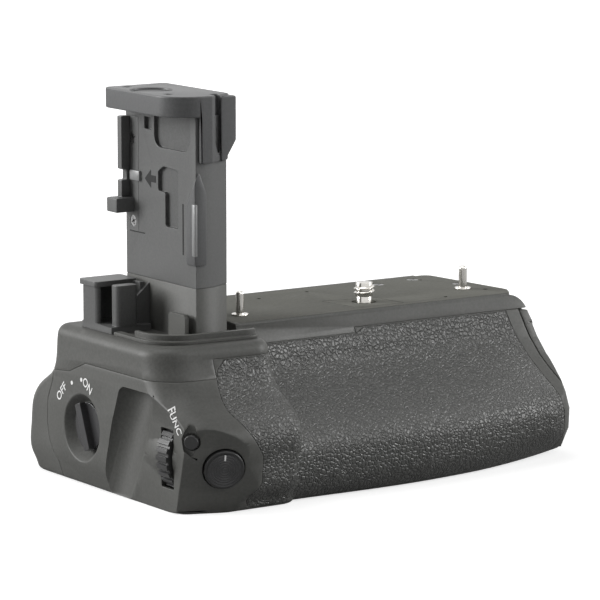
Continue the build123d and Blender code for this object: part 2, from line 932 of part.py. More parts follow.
def socket_room():
    room = rod(along_z, socket_at, socket_radius + wall, 0, socket_depth)
    return room + rod(along_z, socket_at, socket_flange, base_thick, base_thick + wall)


# battery bay

def bay(front, low, across, high, inner):
    middle = (front + across / 2, low + high / 2)
    return slab(along_x, Pos(*middle) * RectangleRounded(across, high, pack_corner), inner, far)


def flat_bay():
    return bay(flat_bay_front, flat_bay_low, pack_wide, pack_thick, flat_bay_inner)


def upright_bay():
    return bay(upright_bay_front, upright_bay_low, pack_thick, pack_wide, upright_bay_inner)


flat_contacts_at = (flat_bay_inner, flat_bay_front + pack_wide / 2, flat_bay_low + pack_thick / 2)
upright_contacts_at = (upright_bay_inner, upright_bay_front + pack_thick / 2, upright_bay_low + pack_wide / 2)


def contact_block_room(at, upright):
    x, y, z = at
    half = contact_blades * blade_pitch / 2
    across, high = (contact_height / 2, half) if upright else (half, contact_height / 2)
    return span_box((x - contact_block, x), (y - across, y + across), (z - high, z + high))


def contact_blade_set(at, upright):
    x, y, z = at
    blades = []
    for number in range(contact_blades):
        shift = (number - (contact_blades - 1) / 2) * blade_pitch
        dy, dz = (0, shift) if upright else (shift, 0)
        wide, high = (blade_high, blade_thick) if upright else (blade_thick, blade_high)
        blades.append(span_box((x - contact_block, x + blade_wide), (y + dy - wide / 2, y + dy + wide / 2),
                               (z + dz - high / 2, z + dz + high / 2)))
    return blades


def contact_block_part(at, upright):
    block = contact_block_room(at, upright)
    for blade in contact_blade_set(at, upright):
        block -= blade
    return block


# battery door

hinge_u = end_rear - hinge_inset
hinge_w = -door_thick / 2
hinge_v = (hinge_low - nose_height, hinge_high - nose_height)
lug_ranges = ((hinge_v[0], hinge_v[0] + lug_length), (hinge_v[1] - lug_length, hinge_v[1]))


def hinge_rod(radius, v):
    plane = Plane(origin=end_plane.origin, x_dir=end_plane.x_dir, z_dir=end_plane.y_dir)
    return extrude(plane.offset(v[0]) * Pos(hinge_u, -hinge_w) * Circle(radius), amount=v[1] - v[0])


def hinge_lugs(form):
    lugs = []
    for v in lug_ranges:
        back = end_box((hinge_u, end_rear), v, (-door_thick - overrun, hinge_w))
        lug = (hinge_rod(hinge_radius, v) + back) & form
        lugs.append(lug - hinge_rod(hinge_pin_radius, v))
    return lugs


def latch_window(side_gap):
    middle = sum(latch_u) / 2
    half = latch_stem / 2 + side_gap
    low = latch_v[0] + latch_knob - latch_stem_high - side_gap
    return (middle - half, middle + half), (low, low + latch_stem_high + 2 * side_gap)


def battery_door(form, top):
    inner = door_thick - door_gap
    door = (form & end_region(inner)) - Pos(0, 0, -door_top_gap) * top
    knuckle_v = (lug_ranges[0][1] + door_gap, lug_ranges[1][0] - door_gap)
    swing = hinge_radius
    door -= end_box((hinge_u, far), (-far, far), (-far, far))
    for low, high in lug_ranges:
        gap_v = (low - door_gap, high + door_gap)
        door -= end_box((hinge_u - swing - door_gap, far), gap_v, (-far, far))
    door += hinge_rod(swing, knuckle_v)
    door -= hinge_rod(hinge_pin_radius + pin_play, (-far, far))
    sunk = end_box(latch_u, (latch_v[0] - latch_travel, latch_v[1]), (-latch_sunk, far))
    u, v = latch_window(latch_side_gap)
    slot = end_box(u, (v[0] - latch_travel, v[1]), (-far, far))
    return door - sunk - slot


def door_latch():
    """Drawn slid down, where it lets the door go; up by its travel it holds the door."""
    knob_u = (latch_u[0] + latch_side_gap, latch_u[1] - latch_side_gap)
    u, v = latch_window(0)
    tongue_w = -door_thick - latch_lip - latch_side_gap
    latch = end_box(knob_u, (latch_v[0], latch_v[0] + latch_knob), (-latch_sunk + pin_play, -latch_knob_out))
    latch += end_box(u, v, (tongue_w - latch_tongue, -latch_sunk + pin_play))
    latch += end_box(u, (v[0], v[1] + latch_tongue_rise), (tongue_w - latch_tongue, tongue_w))
    return Location(end_plane.y_dir * -latch_travel) * latch


def latch_room():
    u, v = latch_window(latch_room_gap)
    low = v[0] - latch_travel - press_gap
    depth_in = door_thick + latch_lip
    room = end_box(u, (low, v[1]), (-depth_in - overrun, overrun))
    return room + end_box(u, (low, v[1] + latch_tongue_rise + press_gap), (-depth_in - overrun, -depth_in))


def lock_boxes(grow):
    """Hook and stem of the lock over the flat bay; grow adds its air and its travel for the seat."""
    u0, u1 = lock_flat_u
    inset = (u1 - u0) * (1 - lock_stem_share) / 2
    low = lock_flat_v + press_gap
    lift = lock_travel * grow
    air = latch_side_gap * grow
    face = -door_thick - press_gap * (1 - grow)
    back = -door_thick - lock_sunk
    hook = ((u0 - air, u1 + air), (lock_flat_v - lock_hook, low + lock_high + lift + air), (back - air, face))
    stem = (
        (u0 + inset - air, u1 - inset + air), (low - air, low + lock_thick + lift + air), (back - lock_stem, face)
    )
    return hook, stem


def battery_lock(grow=0):
    hook, stem = lock_boxes(grow)
    return end_box(*hook) + end_box(*stem)


# rubber covers

def rubber_region():
    foot, top = rubber_left[-1][1], rubber_top + rubber_rise
    right = [(half_length, foot), (half_length, top), (rubber_step[1], top), (rubber_step[0], rubber_top)]
    rounds = [rubber_round] * (len(rubber_left) + 2) + [rubber_step_round] * 2
    outline = make_face(FilletPolyline(*rubber_left, *right, radius=rounds, close=True))
    region = slab(along_y, outline, -half_depth - overrun, -edge_reach)
    return region - end_region(rubber_end)


def thumb_region():
    x0, x1 = thumb_rubber_span
    z0, z1 = thumb_rubber_heights
    points = [(x0, z0), (x1, z0), (x1, z1), (x0, z1)]
    return prism(along_y, points, rear_wall, far, thumb_rubber_round)


# tower

tower_points = [
    (tower_left, tower_rear),
    (tower_left, tower_front),
    (tower_bevel_at, tower_front),
    (tower_right, tower_front + tower_bevel_depth),
    (tower_right, tower_rear),
]
cap_points = [
    (cap_left, cap_rear),
    (cap_left, cap_front),
    (cap_bevel_at, cap_front),
    (tower_right, cap_front + cap_bevel_depth),
    (tower_right, cap_rear),
]


def tower_foot():
    return prism(along_z, tower_points, deck, tower_foot_top)


def face_cut(points, corner=0):
    """A pocket of the usual depth in the wide face, drawn in Y and Z."""
    return prism(along_x, points, tower_left - overrun, tower_left + relief, corner)


def rect_points(a, b):
    return [(a[0], b[0]), (a[1], b[0]), (a[1], b[1]), (a[0], b[1])]


def tower_column():
    column = prism(along_z, tower_points, tower_foot_top, tower_top)
    column -= face_cut(rect_points(notch_span, notch_heights))
    column -= face_cut(rect_points(scoop_span, (scoop_low, tower_top + overrun)), scoop_round)
    column -= face_cut(window_points, window_round)
    screws = strip_screw_bars(strip_screw_shank, tower_left, tower_left + strip_screw_length)
    for cut in (strip_room(), tab_block(), post_bar(), *screws):
        column -= cut
    return column


def strip_room():
    return span_box((tower_left, tower_left + strip_depth), (strip_low, tower_rear), (tower_step, strip_top))


def strip_screw_bars(radius, low, high):
    return bars(along_x, [(strip_screw_y, z) for z in strip_screw_heights], radius, low, high)


def post_bar():
    post = span_box(post_x, post_y, post_heights)
    return post - span_box((post_x[0], post_notch_x), post_y, post_notch)


def tab_block():
    return span_box(tab_x, tab_y, tab_heights)


def contact_post():
    return post_bar() + tab_block()


def tower_strip():
    strip = strip_room() - contact_post()
    for cut in strip_screw_bars(strip_screw_radius, tower_left, tower_left + strip_screw_head):
        strip -= cut
    for cut in strip_screw_bars(strip_screw_shank, tower_left + strip_screw_head, tower_left + strip_depth):
        strip -= cut
    return strip


def tower_screws():
    head_end = tower_left + strip_screw_head
    heads = strip_screw_bars(strip_screw_radius, tower_left + plate_screw_sunk, head_end)
    shanks = strip_screw_bars(strip_screw_shank, head_end, tower_left + strip_screw_length)
    return [head + shank for head, shank in zip(heads, shanks)]


def tower_cap():
    rounds = [cap_small_round, cap_big_round, cap_small_round, cap_small_round, cap_small_round]
    outline = make_face(FilletPolyline(*cap_points, radius=rounds, close=True))
    cap = slab(along_z, outline, tower_top, height)
    cap -= rod(along_z, cap_dish_at, cap_dish_radius, height - cap_dish_depth, height)
    for hole in bars(along_z, cap_hole_places, cap_hole_radius, height - cap_hole_depth, height):
        cap -= hole
    skirt = slab(along_z, outline, skirt_low, tower_top)
    skirt &= span_box((skirt_left, far), (-far, tower_front + tower_bevel_depth), (skirt_low, tower_top))
    cap = cap + skirt + cap_prong() - prism(along_z, tower_points, skirt_low - overrun, tower_top)
    slot = [(cap_slot_foot_x[0], cap_slot_low), (cap_slot_foot_x[1], cap_slot_low), (cap_slot_x[1], prong_wide_from),
            (cap_slot_x[1], height + overrun), (cap_slot_x[0], height + overrun), (cap_slot_x[0], prong_wide_from)]
    return cap - prism(along_y, slot, cap_front - overrun, cap_slot_deep)


def cap_prong():
    foot, widest = prong_x
    points = [(cap_slot_x[1], skirt_low), (foot, skirt_low), (widest, prong_wide_from), (widest, prong_top),
              (cap_slot_x[1], prong_top)]
    return prism(along_y, points, *prong_y)


def tower_side_cover():
    """A block round the front edge of the tower, cut to a point at its top."""
    low, high = side_cover_heights
    y0, y1 = side_cover_y
    points = [
        (y0, low), (y1, low), (y1, high - side_cover_slope), (tower_front + side_cover_round, high), (y0, high)
    ]
    block = span_box(side_cover_x, side_cover_y, side_cover_heights)
    upright = block.edges().filter_by(Axis.Z).sort_by(Axis.X)[:2]
    block = fillet(upright, side_cover_round) & prism(along_x, points, *side_cover_x)
    x0, x1 = side_cover_x
    slope = [(x1, high - side_cover_lean), (tower_left, high), (x1, high)]
    block -= prism(along_y, slope, y0 - overrun, tower_front + overrun)
    return block - prism(along_z, tower_points, *side_cover_heights)


# deck

def deck_outline(inset):
    level = (
        control_left_shares[-1], control_front_shares[-1], control_inner_shares[-1], control_rear_shares[-1]
    )
    return control_section(0, *level, inset)


def deck_ring(wide, high):
    outer = deck_outline(rim_inset + rim_wide - wide)
    ring = slab(along_z, outer - deck_outline(rim_inset + rim_wide), deck, deck + high)
    return ring & span_box((-far, deck_end), (-far, rim_rear), (deck, deck + high))


def deck_rim():
    rim = deck_ring(rim_wide, rim_high)
    step = deck_ring(rim_step_wide, rim_step_high) & span_box((-far, far), (-far, rim_step_rear), (deck, far))
    return rim + step


def rim_tongue():
    x, y, top = rim_tab
    tongue = span_box(x, y, (deck, top))
    return fillet(tongue.edges().filter_by(Axis.X).group_by(Axis.Z)[-1], holder_round)


def gusset():
    points = [(tower_left, gusset_heights[1]), (tower_left - gusset_reach, gusset_heights[0]),
              (tower_left - gusset_reach, deck), (tower_left, deck)]
    return prism(along_y, points, *gusset_y)


def door_holder():
    floor = span_box(holder_x, (holder_post_y[0], holder_y[1]), (deck, holder_floor))
    tall = span_box(holder_x, holder_y, (deck, holder_top - holder_lid))
    lip_x = (holder_x[0] - holder_lip, holder_x[1])
    lip_y = (holder_y[0] - holder_lip, holder_y[1] + holder_lip)
    lid = span_box(lip_x, lip_y, (holder_top - holder_lid, holder_top))
    post = span_box(holder_post_x, holder_post_y, (deck, holder_post_top))
    back = span_box(
        (holder_x[1] - holder_back, holder_x[1]), (holder_post_y[1], holder_y[0]), (deck, holder_post_top)
    )
    hollow = span_box((holder_x[0] + holder_back, holder_x[1] - holder_back),
                      (holder_y[0], holder_y[1] - holder_back), (holder_floor, holder_top - holder_lid))
    corners = [lid.edges().filter_by(Axis.Z), tall.edges().filter_by(Axis.Z), post.edges().filter_by(Axis.Z)]
    lid, tall, post = [fillet(edges, holder_round) for edges in corners]
    return floor + (tall - hollow) + lid + post + back - gusset()


# put together

def casings():
    form = master_form()
    top, rear = top_region(), rear_region()
    end = end_region(door_thick)
    inner_form = control_form(cover) + grip_form(cover)
    carved = carve_rear(carve_controls(form))
    grip_cover = (form - inner_form) & rubber_region()
    thumb_cover = (form - inner_form) & thumb_region()
    room = train_room() + train_bores()

    shell = (carved & top) - plate_blank(plate_low, body_height + overrun, 0) - room
    shell = shell - upright_bay() - contact_block_room(upright_contacts_at, True)
    shell += tower_foot()
    for pin in bars(along_z, pin_places, pin_radius, plate_low - pin_root, plate_low):
        shell -= pin
    for hole in plate_screw_bars(plate_screw_radius, plate_low - plate_screw_reach, plate_low):
        shell -= hole

    lower = carved - top - end
    lower -= room
    back = (lower & rear) - thumb_cover
    front = (lower - rear) - grip_cover
    for cut in (base_blank(0), socket_room(), flat_bay(), upright_bay(), latch_room(), battery_lock(1),
                contact_block_room(flat_contacts_at, False), contact_block_room(upright_contacts_at, True)):
        front -= cut
    for hole in bars(along_z, base_screw_places, base_screw_shank, base_thick, base_screw_length):
        front -= hole
    for lug in hinge_lugs(form):
        back += lug
    hinge_hole = hinge_rod(hinge_pin_radius, hinge_v)
    back -= hinge_hole
    door = battery_door(form, top)
    return {
        "top_shell": shell,
        "front_housing": front,
        "rear_shell": back,
        "grip_rubber": grip_cover,
        "thumb_rubber": thumb_cover,
        "battery_door": door,
    }


nodes = casings()
nodes.update({
    "power_switch": power_switch(),
    "main_dial": main_dial(),
    "dial_shaft": rod(along_y, dial_at, dial_pin, *dial_pin_ends),
    "shutter_button": button(shutter_plane, *shutter_sizes),
    "function_button": button(function_plane, *function_sizes),
    "rear_dial": rear_dial(),
    "rear_dial_shaft": rod(along_x, rear_dial_at, rear_dial_pin, *rear_dial_pin_ends),
    "joystick_gimbal": joystick_gimbal(),
    "joystick_cap": joystick_cap(),
    "mounting_screw": mounting_screw(),
    "screw_gear": screw_gear(),
    "screw_bush": screw_bush(),
    "thumbwheel": thumbwheel(),
    "wheel_spindle": rod(along_z, wheel_at, spindle_radius, spindle_low, plate_low),
    "idler_gear": idler_gear(),
    "idler_pin": rod(along_z, idler_at, idler_pin_radius, idler_pin_low, plate_low),
    "top_plate": top_plate(),
    "plate_screws": Compound(plate_screws()),
    "locating_pins": Compound(locating_pins()),
    "base_plate": base_plate(),
    "base_screws": Compound(base_screws()),
    "tripod_socket": tripod_socket(),
    "flat_contact_block": contact_block_part(flat_contacts_at, False),
    "flat_contacts": Compound(contact_blade_set(flat_contacts_at, False)),
    "upright_contact_block": contact_block_part(upright_contacts_at, True),
    "upright_contacts": Compound(contact_blade_set(upright_contacts_at, True)),
    "battery_lock": battery_lock(),
    "door_latch": door_latch(),
    "hinge_pin": hinge_rod(hinge_pin_radius, hinge_v),
    "tower_column": tower_column(),
    "tower_strip": tower_strip(),
    "contact_post": contact_post(),
    "tower_screws": Compound(tower_screws()),
    "tower_cap": tower_cap(),
    "tower_side_cover": tower_side_cover(),
    "deck_rim": deck_rim(),
    "rim_tongue": rim_tongue(),
    "gusset": gusset(),
    "door_holder": door_holder(),
})
for number, place in enumerate(rear_button_places, start=1):
    nodes[f"rear_button_{number}"] = button(facing_back(*place), *rear_button_sizes)

for name, solid in nodes.items():
    export_step(solid, os.path.join("parts", name + ".step"))
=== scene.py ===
import json
import math
import bpy
from mathutils import Matrix, Vector

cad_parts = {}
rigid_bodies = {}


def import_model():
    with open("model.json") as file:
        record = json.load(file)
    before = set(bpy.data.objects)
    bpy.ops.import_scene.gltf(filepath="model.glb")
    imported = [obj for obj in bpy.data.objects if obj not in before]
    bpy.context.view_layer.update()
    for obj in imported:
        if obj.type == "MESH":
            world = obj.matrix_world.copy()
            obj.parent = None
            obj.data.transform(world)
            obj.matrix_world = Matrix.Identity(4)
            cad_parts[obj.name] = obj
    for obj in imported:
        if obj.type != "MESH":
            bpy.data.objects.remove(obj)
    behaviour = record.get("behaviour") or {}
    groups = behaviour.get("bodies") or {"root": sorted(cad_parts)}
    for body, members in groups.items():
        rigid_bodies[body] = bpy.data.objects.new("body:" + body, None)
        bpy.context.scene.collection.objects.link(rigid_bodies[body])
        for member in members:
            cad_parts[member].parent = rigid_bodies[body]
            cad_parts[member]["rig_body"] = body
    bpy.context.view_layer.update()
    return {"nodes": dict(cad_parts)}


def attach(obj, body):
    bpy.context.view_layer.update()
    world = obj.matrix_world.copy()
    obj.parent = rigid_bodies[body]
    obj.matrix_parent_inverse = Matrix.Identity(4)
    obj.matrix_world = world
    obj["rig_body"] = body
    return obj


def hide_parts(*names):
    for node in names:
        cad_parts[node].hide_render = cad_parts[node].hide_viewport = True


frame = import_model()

mm = 0.001
white = (1, 1, 1, 1)
bpy.context.scene.view_settings.view_transform = "Standard"
print("frame loaded:", len(frame["nodes"]), "nodes")


def deselectAll():
    if bpy.context.object and bpy.context.object.mode != "OBJECT":
        bpy.ops.object.mode_set(mode="OBJECT")
    bpy.ops.object.select_all(action="DESELECT")


def makeActive(piece):
    deselectAll()
    piece.select_set(True)
    bpy.context.view_layer.objects.active = piece


def applyModifiers(piece):
    makeActive(piece)
    for modifier in list(piece.modifiers):
        bpy.ops.object.modifier_apply(modifier=modifier.name)


def applyPlace(piece):
    makeActive(piece)
    bpy.ops.object.transform_apply(location=True, rotation=True, scale=True)


def newMaterial(name):
    material = bpy.data.materials.new(name)
    material.use_nodes = True
    nodes = material.node_tree.nodes
    place = nodes.new("ShaderNodeTexCoord")
    return material, nodes, material.node_tree.links, nodes["Principled BSDF"], place


def stepNode(nodes, kind, operation):
    step = nodes.new(kind)
    step.operation = operation
    return step


def noiseNode(nodes, links, place, millimetres, detail, roughness=0.5):
    noise = nodes.new("ShaderNodeTexNoise")
    noise.inputs["Scale"].default_value = 1 / (millimetres * mm)
    noise.inputs["Detail"].default_value = detail
    noise.inputs["Roughness"].default_value = roughness
    links.new(place.outputs["Object"], noise.inputs["Vector"])
    return noise


def rangeNode(nodes, links, source, low, high, fromLow=0.3, fromHigh=0.7):
    span = nodes.new("ShaderNodeMapRange")
    span.inputs["From Min"].default_value = fromLow
    span.inputs["From Max"].default_value = fromHigh
    span.inputs["To Min"].default_value = low
    span.inputs["To Max"].default_value = high
    links.new(source, span.inputs["Value"])
    return span.outputs["Result"]


def bumpNode(nodes, links, height, strength, distance):
    bump = nodes.new("ShaderNodeBump")
    bump.inputs["Strength"].default_value = strength
    bump.inputs["Distance"].default_value = distance * mm
    links.new(height, bump.inputs["Height"])
    return bump.outputs["Normal"]


def scaled(shade, share):
    return [part * share for part in shade]


def shadeMix(nodes, links, factor, dark, light):
    mix = nodes.new("ShaderNodeMix")
    mix.data_type = "RGBA"
    mix.inputs["A"].default_value = tuple(dark) + (1,)
    mix.inputs["B"].default_value = tuple(light) + (1,)
    links.new(factor, mix.inputs["Factor"])
    return mix.outputs["Result"]


# camera, where the photograph was taken from
cameraValues = {
    "place": (-0.6109, -0.8978, 0.2292),
    "heading": (0.5510, 0.8185, -0.1628),
    "lens": 222.0,
    "sensor": 36.0,
    "clip": 0.05,
}


def addCamera(values):
    bpy.ops.object.camera_add(location=values["place"])
    camera = bpy.context.object
    camera.rotation_euler = Vector(values["heading"]).to_track_quat("-Z", "Y").to_euler()
    camera.data.sensor_width = values["sensor"]
    camera.data.lens = values["lens"]
    camera.data.clip_start = values["clip"]
    bpy.context.scene.camera = camera


addCamera(cameraValues)

# soft boxes: place, size and power of each, all turned to the grip
lightValues = {
    "leftBox": {"place": (-1.25, 0.95, 0.60), "size": 0.9, "power": 31.0},
    "rightBox": {"place": (1.35, -0.80, 0.62), "size": 0.9, "power": 20.0},
    "frontBox": {"place": (0.1, -1.3, 1.3), "size": 0.8, "power": 4.5},
    "topBox": {"place": (-0.3, 0.1, 1.5), "size": 1.0, "power": 8.0},
}
roomLight = 0.06
gripMiddle = Vector((0, 0, 0.05))


def addLights(values):
    for name, box in values.items():
        bpy.ops.object.light_add(type="AREA", location=box["place"])
        light = bpy.context.object
        light.name = name
        light.data.size = box["size"]
        light.data.energy = box["power"]
        light.rotation_euler = (gripMiddle - Vector(box["place"])).to_track_quat("-Z", "Y").to_euler()


addLights(lightValues)


def addRoom(strength):
    # white to the camera and in reflections, dim as a light
    world = bpy.data.worlds.new("studio")
    bpy.context.scene.world = world
    world.use_nodes = True
    nodes = world.node_tree.nodes
    links = world.node_tree.links
    background = nodes["Background"]
    background.inputs["Color"].default_value = white
    rays = nodes.new("ShaderNodeLightPath")
    seen = stepNode(nodes, "ShaderNodeMath", "MAXIMUM")
    through = stepNode(nodes, "ShaderNodeMath", "MAXIMUM")
    links.new(rays.outputs["Is Camera Ray"], seen.inputs[0])
    links.new(rays.outputs["Is Transmission Ray"], seen.inputs[1])
    links.new(seen.outputs[0], through.inputs[0])
    links.new(rays.outputs["Is Glossy Ray"], through.inputs[1])
    level = rangeNode(nodes, links, through.outputs[0], strength, 1.0, 0.0, 1.0)
    links.new(level, background.inputs["Strength"])


addRoom(roomLight)

# the camera alone sees the floor lifted towards white, less so near the grip, where the shadow falls
floorValues = {
    "size": 14.0, "shade": 0.5, "rough": 0.9, "gloss": 0.1, "lift": 0.70, "farLift": 1.0,
    "near": 0.25, "far": 0.8,
}


def addFloor(values):
    bpy.ops.mesh.primitive_plane_add(size=values["size"], location=(0, 0, 0))
    floor = bpy.context.object
    floor.name = "studioFloor"
    material, nodes, links, shader, place = newMaterial("paleFloor")
    shader.inputs["Base Color"].default_value = (values["shade"],) * 3 + (1,)
    shader.inputs["Roughness"].default_value = values["rough"]
    shader.inputs["Specular IOR Level"].default_value = values["gloss"]
    shader.inputs["Emission Color"].default_value = white
    rays = nodes.new("ShaderNodeLightPath")
    lift = stepNode(nodes, "ShaderNodeMath", "MULTIPLY")
    reach = stepNode(nodes, "ShaderNodeVectorMath", "LENGTH")
    links.new(place.outputs["Object"], reach.inputs[0])
    levels = (values["lift"], values["farLift"], values["near"], values["far"])
    links.new(rangeNode(nodes, links, reach.outputs["Value"], *levels), lift.inputs[1])
    links.new(rays.outputs["Is Camera Ray"], lift.inputs[0])
    links.new(lift.outputs[0], shader.inputs["Emission Strength"])
    floor.data.materials.append(material)


addFloor(floorValues)
print("studio ready")

# plastics: colour, roughness, grain size in millimetres, grain depth, spread of roughness, gloss
plasticNames = ("shade", "rough", "grain", "depth", "spread", "gloss")
plasticRows = {
    "shell": ((0.070, 0.0705, 0.066), 0.46, 0.28, 0.35, 0.10, 0.26),
    "housing": ((0.066, 0.0665, 0.062), 0.46, 0.28, 0.35, 0.10, 0.26),
    "tower": ((0.078, 0.079, 0.078), 0.40, 0.22, 0.22, 0.08, 0.32),
    "black": ((0.026, 0.026, 0.026), 0.30, 0.20, 0.10, 0.08, 0.35),
    "cap": ((0.078, 0.079, 0.080), 0.38, 0.25, 0.12, 0.08, 0.28),
    "knob": ((0.030, 0.030, 0.031), 0.24, 0.18, 0.10, 0.08, 0.45),
    # near-black, for the painted shade in the tower's arrow, slot and ledge
    "dark": ((0.010, 0.010, 0.010), 0.50, 0.20, 0.10, 0.08, 0.2),
    # pale finish: the painted highlight bar on the cover's edge, and the strip's clip
    "bar": ((0.16, 0.162, 0.162), 0.32, 0.20, 0.08, 0.06, 0.5),
    "plate": ((0.092, 0.092, 0.082), 0.70, 0.40, 0.80, 0.12, 0.10),
}
finishValues = {name: dict(zip(plasticNames, row)) for name, row in plasticRows.items()}

# metals: colour, roughness and depth of the tool's marks
metalValues = {
    "nickel": {"shade": (0.74, 0.72, 0.68), "rough": 0.17, "scratch": 0.08},
    "steel": {"shade": (0.50, 0.50, 0.51), "rough": 0.28, "scratch": 0.14},
    "darkSteel": {"shade": (0.34, 0.34, 0.34), "rough": 0.30, "scratch": 0.12},
    "brass": {"shade": (0.83, 0.62, 0.30), "rough": 0.22, "scratch": 0.10},
}

# what all plastics share: noise sizes and levels, shares of the colour, and the painted highlight on the
# edges
plasticMarks = {
    "broadSize": 18.0, "broadDetail": 4.0, "fineDetail": 2.0, "fineRough": 0.6,
    "speckShare": 3, "speckDetail": 3.0, "speckRough": 0.65, "dark": 0.86, "light": 1.16,
    "highlightFrom": 0.505, "highlightTo": 0.56, "highlightShare": 0.35, "highlightShade": 1.9, "bumpHeight": 0.03,
}


def mouldedPlastic(name, values, marks=plasticMarks):
    # fine spark-eroded grain, broad handling marks, and convex edges painted paler as a highlight
    material, nodes, links, shader, place = newMaterial(name)
    shade = values["shade"]
    broad = noiseNode(nodes, links, place, marks["broadSize"], marks["broadDetail"])
    fine = noiseNode(nodes, links, place, values["grain"], marks["fineDetail"], marks["fineRough"])
    speckSize = values["grain"] * marks["speckShare"]
    speck = noiseNode(nodes, links, place, speckSize, marks["speckDetail"], marks["speckRough"])
    shape = nodes.new("ShaderNodeNewGeometry")
    edges = shape.outputs["Pointiness"]
    # painted highlight: convex edges are mixed towards a much paler copy of the colour
    share = marks["highlightShare"]
    edgeHighlight = rangeNode(nodes, links, edges, 0.0, share, marks["highlightFrom"], marks["highlightTo"])
    patches = rangeNode(nodes, links, speck.outputs["Fac"], 0.0, 1.0)
    base = shadeMix(nodes, links, patches, scaled(shade, marks["dark"]), scaled(shade, marks["light"]))
    highlightMix = nodes.new("ShaderNodeMix")
    highlightMix.data_type = "RGBA"
    highlightMix.inputs["B"].default_value = tuple(scaled(shade, marks["highlightShade"])) + (1,)
    links.new(edgeHighlight, highlightMix.inputs["Factor"])
    links.new(base, highlightMix.inputs["A"])
    links.new(highlightMix.outputs["Result"], shader.inputs["Base Color"])
    low = values["rough"] - values["spread"] / 2
    rough = rangeNode(nodes, links, broad.outputs["Fac"], low, low + values["spread"])
    links.new(rough, shader.inputs["Roughness"])
    bump = bumpNode(nodes, links, fine.outputs["Fac"], values["depth"], marks["bumpHeight"])
    links.new(bump, shader.inputs["Normal"])
    shader.inputs["Specular IOR Level"].default_value = values["gloss"]
    return material


# what all metals share: the tool marks' stretch and size, and their share of colour and roughness
metalMarks = {
    "stretch": 9, "size": 0.9, "detail": 3.0, "dark": 0.82, "smoother": 0.06, "rougher": 0.10,
    "bumpHeight": 0.02,
}


def machinedMetal(name, values, cuts=metalMarks):
    # fine marks of the tool, stretched across the height
    material, nodes, links, shader, place = newMaterial(name)
    shader.inputs["Metallic"].default_value = 1.0
    stretch = nodes.new("ShaderNodeMapping")
    stretch.inputs["Scale"].default_value = (1, 1, cuts["stretch"])
    links.new(place.outputs["Object"], stretch.inputs["Vector"])
    marks = noiseNode(nodes, links, place, cuts["size"], cuts["detail"])
    links.new(stretch.outputs["Vector"], marks.inputs["Vector"])
    level = marks.outputs["Fac"]
    shade = values["shade"]
    streaks = rangeNode(nodes, links, level, 0.0, 1.0)
    base = shadeMix(nodes, links, streaks, scaled(shade, cuts["dark"]), shade)
    links.new(base, shader.inputs["Base Color"])
    low = values["rough"] - cuts["smoother"]
    rough = rangeNode(nodes, links, level, low, values["rough"] + cuts["rougher"])
    links.new(rough, shader.inputs["Roughness"])
    bump = bumpNode(nodes, links, level, values["scratch"], cuts["bumpHeight"])
    links.new(bump, shader.inputs["Normal"])
    return material


# rubber: colour, with creases painted darker as shade and cells paler as highlight, and roughness, then the
# cells, their warp and the pebbles, in millimetres
rubberValues = {
    "shade": (0.052, 0.0525, 0.049), "dark": 0.55, "light": 1.25, "gloss": 0.5,
    "rough": 0.34, "smoother": 0.08, "rougher": 0.12, "cell": 1.25, "creaseWidth": 0.22,
    "warp": 0.9, "wanderSize": 2.6, "detail": 3.0, "noiseMiddle": 0.5,
    "pebble": 0.5, "pebbleRough": 0.6, "pebbleShare": 0.6, "depth": 0.24, "strength": 0.75,
}


def grainedRubber(name, values):
    # leather-like grain: warped cells with creases between them, painted shade in the creases and painted
    # highlight on the cells, and a soft sheen
    material, nodes, links, shader, place = newMaterial(name)
    wander = noiseNode(nodes, links, place, values["wanderSize"], values["detail"])
    centred = stepNode(nodes, "ShaderNodeVectorMath", "SUBTRACT")
    centred.inputs[1].default_value = (values["noiseMiddle"],) * 3
    links.new(wander.outputs["Color"], centred.inputs[0])
    shift = stepNode(nodes, "ShaderNodeVectorMath", "SCALE")
    shift.inputs["Scale"].default_value = values["warp"] / values["noiseMiddle"] * mm
    links.new(centred.outputs["Vector"], shift.inputs[0])
    bent = stepNode(nodes, "ShaderNodeVectorMath", "ADD")
    links.new(place.outputs["Object"], bent.inputs[0])
    links.new(shift.outputs["Vector"], bent.inputs[1])
    cells = nodes.new("ShaderNodeTexVoronoi")
    cells.feature = "DISTANCE_TO_EDGE"
    cells.inputs["Scale"].default_value = 1 / (values["cell"] * mm)
    links.new(bent.outputs["Vector"], cells.inputs["Vector"])
    crease = rangeNode(nodes, links, cells.outputs["Distance"], 0.0, 1.0, 0.0, values["creaseWidth"])
    pebble = noiseNode(nodes, links, place, values["pebble"], values["detail"], values["pebbleRough"])
    height = stepNode(nodes, "ShaderNodeMath", "MULTIPLY_ADD")
    height.inputs[1].default_value = values["pebbleShare"]
    links.new(pebble.outputs["Fac"], height.inputs[0])
    links.new(crease, height.inputs[2])
    shade = values["shade"]
    # painted shade and highlight: the creases take the darker colour, the cell tops the paler one
    base = shadeMix(nodes, links, crease, scaled(shade, values["dark"]), scaled(shade, values["light"]))
    links.new(base, shader.inputs["Base Color"])
    low = values["rough"] - values["smoother"]
    rough = rangeNode(nodes, links, pebble.outputs["Fac"], low, values["rough"] + values["rougher"])
    links.new(rough, shader.inputs["Roughness"])
    bump = bumpNode(nodes, links, height.outputs[0], values["strength"], values["depth"])
    links.new(bump, shader.inputs["Normal"])
    shader.inputs["Specular IOR Level"].default_value = values["gloss"]
    return material


# print: colour and roughness, then its height over the skin, boldness and dots, in millimetres
inkValues = {
    "shade": (0.75, 0.75, 0.74), "patch": 0.35, "detail": 2.0, "dark": 0.88, "rough": 0.5,
    "lift": 0.10, "merge": 0.01, "swell": 0.04, "dot": 0.62, "dotSides": 24,
}


